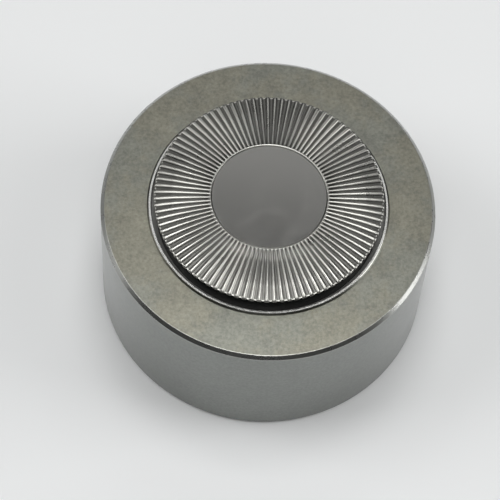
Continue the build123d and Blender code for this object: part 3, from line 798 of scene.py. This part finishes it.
class DEMAG_OT_electrics(Operator):
    """Chassis, circuit board, switch and power inlet"""
    bl_idname = "demag.electrics"
    bl_label = "Electrics"

    def execute(self, context):
        put_on(moulding("chassis_moulding", (0.05, 0.05, 0.055)), "chassis")
        put_on(moulding("board_laminate", (0.02, 0.16, 0.07), roughness=0.3), "circuit_board")
        put_on(moulding("fish_paper", (0.25, 0.28, 0.26), roughness=0.8), "insulating_sheet")
        put_on(moulding("capacitor_case", (0.5, 0.06, 0.05), roughness=0.2), "film_capacitor")
        put_on(moulding("component_moulding", (0.02, 0.02, 0.02), roughness=0.4), "bridge_rectifier",
               "varistor", "switch_body", "inlet_insulator")
        put_on(machined("fuse_case", (0.7, 0.7, 0.68), roughness=0.35), "thermal_fuse")
        put_on(moulding("plunger_moulding", (0.7, 0.7, 0.68), roughness=0.4), "switch_plunger")
        put_on(machined("tinned_brass", (0.72, 0.7, 0.6), roughness=0.25), "switch_terminals",
               "inlet_pin", "inlet_tags")
        put_on(machined("inlet_plating", (0.7, 0.7, 0.69), roughness=0.18), "inlet_shell")
        put_on(moulding("lead_insulation", (0.4, 0.03, 0.02), roughness=0.5), "supply_leads")
        return {"FINISHED"}


# ------------------------------------------------------------------ floor, lights and camera

# Each light: its elevation and its bearing from the rear over the left, in degrees, and its side
SOFTBOXES = {
    "overhead": (81, 0, 200 * MM), "high_front": (72, 180, 200 * MM),
    "left": (48, 90, 280 * MM), "right": (48, 270, 280 * MM),
    "low_left": (20, 90, 280 * MM), "low_right": (20, 270, 280 * MM),
    "back": (48, 0, 280 * MM), "front": (48, 180, 280 * MM),
}


def softbox(name, elevation, bearing, size, power, distance):
    """Square area light aimed at the top face."""
    light = bpy.data.lights.new(name, "AREA")
    light.shape = "SQUARE"
    light.size = size
    light.energy = power
    lamp = bpy.data.objects.new(name, light)
    bpy.context.scene.collection.objects.link(lamp)
    rise, turn = radians(elevation), radians(bearing)
    outward = Vector((-sin(turn) * cos(rise), cos(turn) * cos(rise), sin(rise)))
    lamp.location = Vector((0.0, 0.0, TOP_FACE)) + outward * distance
    lamp.rotation_euler = (-outward).to_track_quat("-Z", "Y").to_euler()
    lamp.visible_camera = False


def camera_matrix(studio):
    """Camera that sees the top face's centre at the given depth and place in the view."""
    tilt = studio.camera_elevation
    turn = studio.camera_roll
    right = Vector((cos(turn), -sin(turn) * sin(tilt), -sin(turn) * cos(tilt)))
    up = Vector((sin(turn), cos(turn) * sin(tilt), cos(turn) * cos(tilt)))
    forward = Vector((0.0, cos(tilt), -sin(tilt)))
    target = Vector((0.0, 0.0, TOP_FACE))
    place = target - right * studio.aim_right - up * studio.aim_up - forward * studio.camera_distance
    matrix = Matrix((right, up, -forward)).transposed().to_4x4()
    matrix.translation = place
    return matrix


class DEMAG_OT_studio(Operator):
    """Floor, soft lights, camera and colour handling"""
    bl_idname = "demag.studio"
    bl_label = "Studio"

    def execute(self, context):
        studio = context.scene.demag_studio
        half = 2000 * MM
        mesh = bpy.data.meshes.new("floor")
        mesh.from_pydata([(-half, -half, 0), (half, -half, 0), (half, half, 0), (-half, half, 0)], [],
                         [(0, 1, 2, 3)])
        floor = bpy.data.objects.new("floor", mesh)
        context.scene.collection.objects.link(floor)
        paper = Finish("floor_paper", roughness=0.8, Specular_IOR_Level=0.2)
        paper.colour(studio.floor)
        floor.data.materials.append(paper.material)

        world = bpy.data.worlds.new("studio_world")
        world.use_nodes = True
        background = world.node_tree.nodes["Background"]
        background.inputs["Color"].default_value = (*studio.sky, 1.0)
        background.inputs["Strength"].default_value = studio.sky_strength
        context.scene.world = world

        for name, (elevation, bearing, size) in SOFTBOXES.items():
            softbox(name, elevation, bearing, size, getattr(studio, name), studio.light_distance)

        camera = bpy.data.cameras.new("camera")
        camera.sensor_width = 36.0
        camera.lens = studio.lens / MM
        camera.clip_start = 0.01
        viewer = bpy.data.objects.new("camera", camera)
        context.scene.collection.objects.link(viewer)
        viewer.matrix_world = camera_matrix(studio)
        context.scene.camera = viewer
        context.scene.view_settings.view_transform = "Standard"
        return {"FINISHED"}


# ------------------------------------------------------------------ panel and registration

class DEMAG_PT_panel(Panel):
    """Sidebar panel that lists the pieces and their sizes"""
    bl_idname = "DEMAG_PT_panel"
    bl_label = "Plate demagnetizer"
    bl_space_type = "VIEW_3D"
    bl_region_type = "UI"
    bl_category = "Demagnetizer"

    def draw(self, context):
        layout = self.layout
        for group in (context.scene.demag_ribs, context.scene.demag_winding, context.scene.demag_finish,
                      context.scene.demag_studio):
            box = layout.box()
            for name in group.__annotations__:
                box.prop(group, name)
        for operator in OPERATORS:
            layout.operator(operator.bl_idname)


OPERATORS = (DEMAG_OT_puck, DEMAG_OT_fluted_ring, DEMAG_OT_stage_parts, DEMAG_OT_coil,
             DEMAG_OT_electrics, DEMAG_OT_studio)
GROUP_CLASSES = {"demag_ribs": DEMAG_PG_ribs, "demag_winding": DEMAG_PG_winding,
                 "demag_finish": DEMAG_PG_finish, "demag_studio": DEMAG_PG_studio}


def register():
    """Adds the classes and the scene's property groups."""
    for name, group in GROUP_CLASSES.items():
        bpy.utils.register_class(group)
        setattr(bpy.types.Scene, name, PointerProperty(type=group))
    for kind in (*OPERATORS, DEMAG_PT_panel):
        bpy.utils.register_class(kind)


def unregister():
    """Takes away what register added."""
    for kind in (DEMAG_PT_panel, *reversed(OPERATORS)):
        bpy.utils.unregister_class(kind)
    for name, group in reversed(GROUP_CLASSES.items()):
        delattr(bpy.types.Scene, name)
        bpy.utils.unregister_class(group)


def main():
    """Makes every piece and the stage."""
    register()
    bpy.ops.demag.puck()
    bpy.ops.demag.fluted_ring()
    bpy.ops.demag.stage_parts()
    bpy.ops.demag.coil()
    bpy.ops.demag.electrics()
    bpy.ops.demag.studio()


if __name__ == "__main__":
    main()
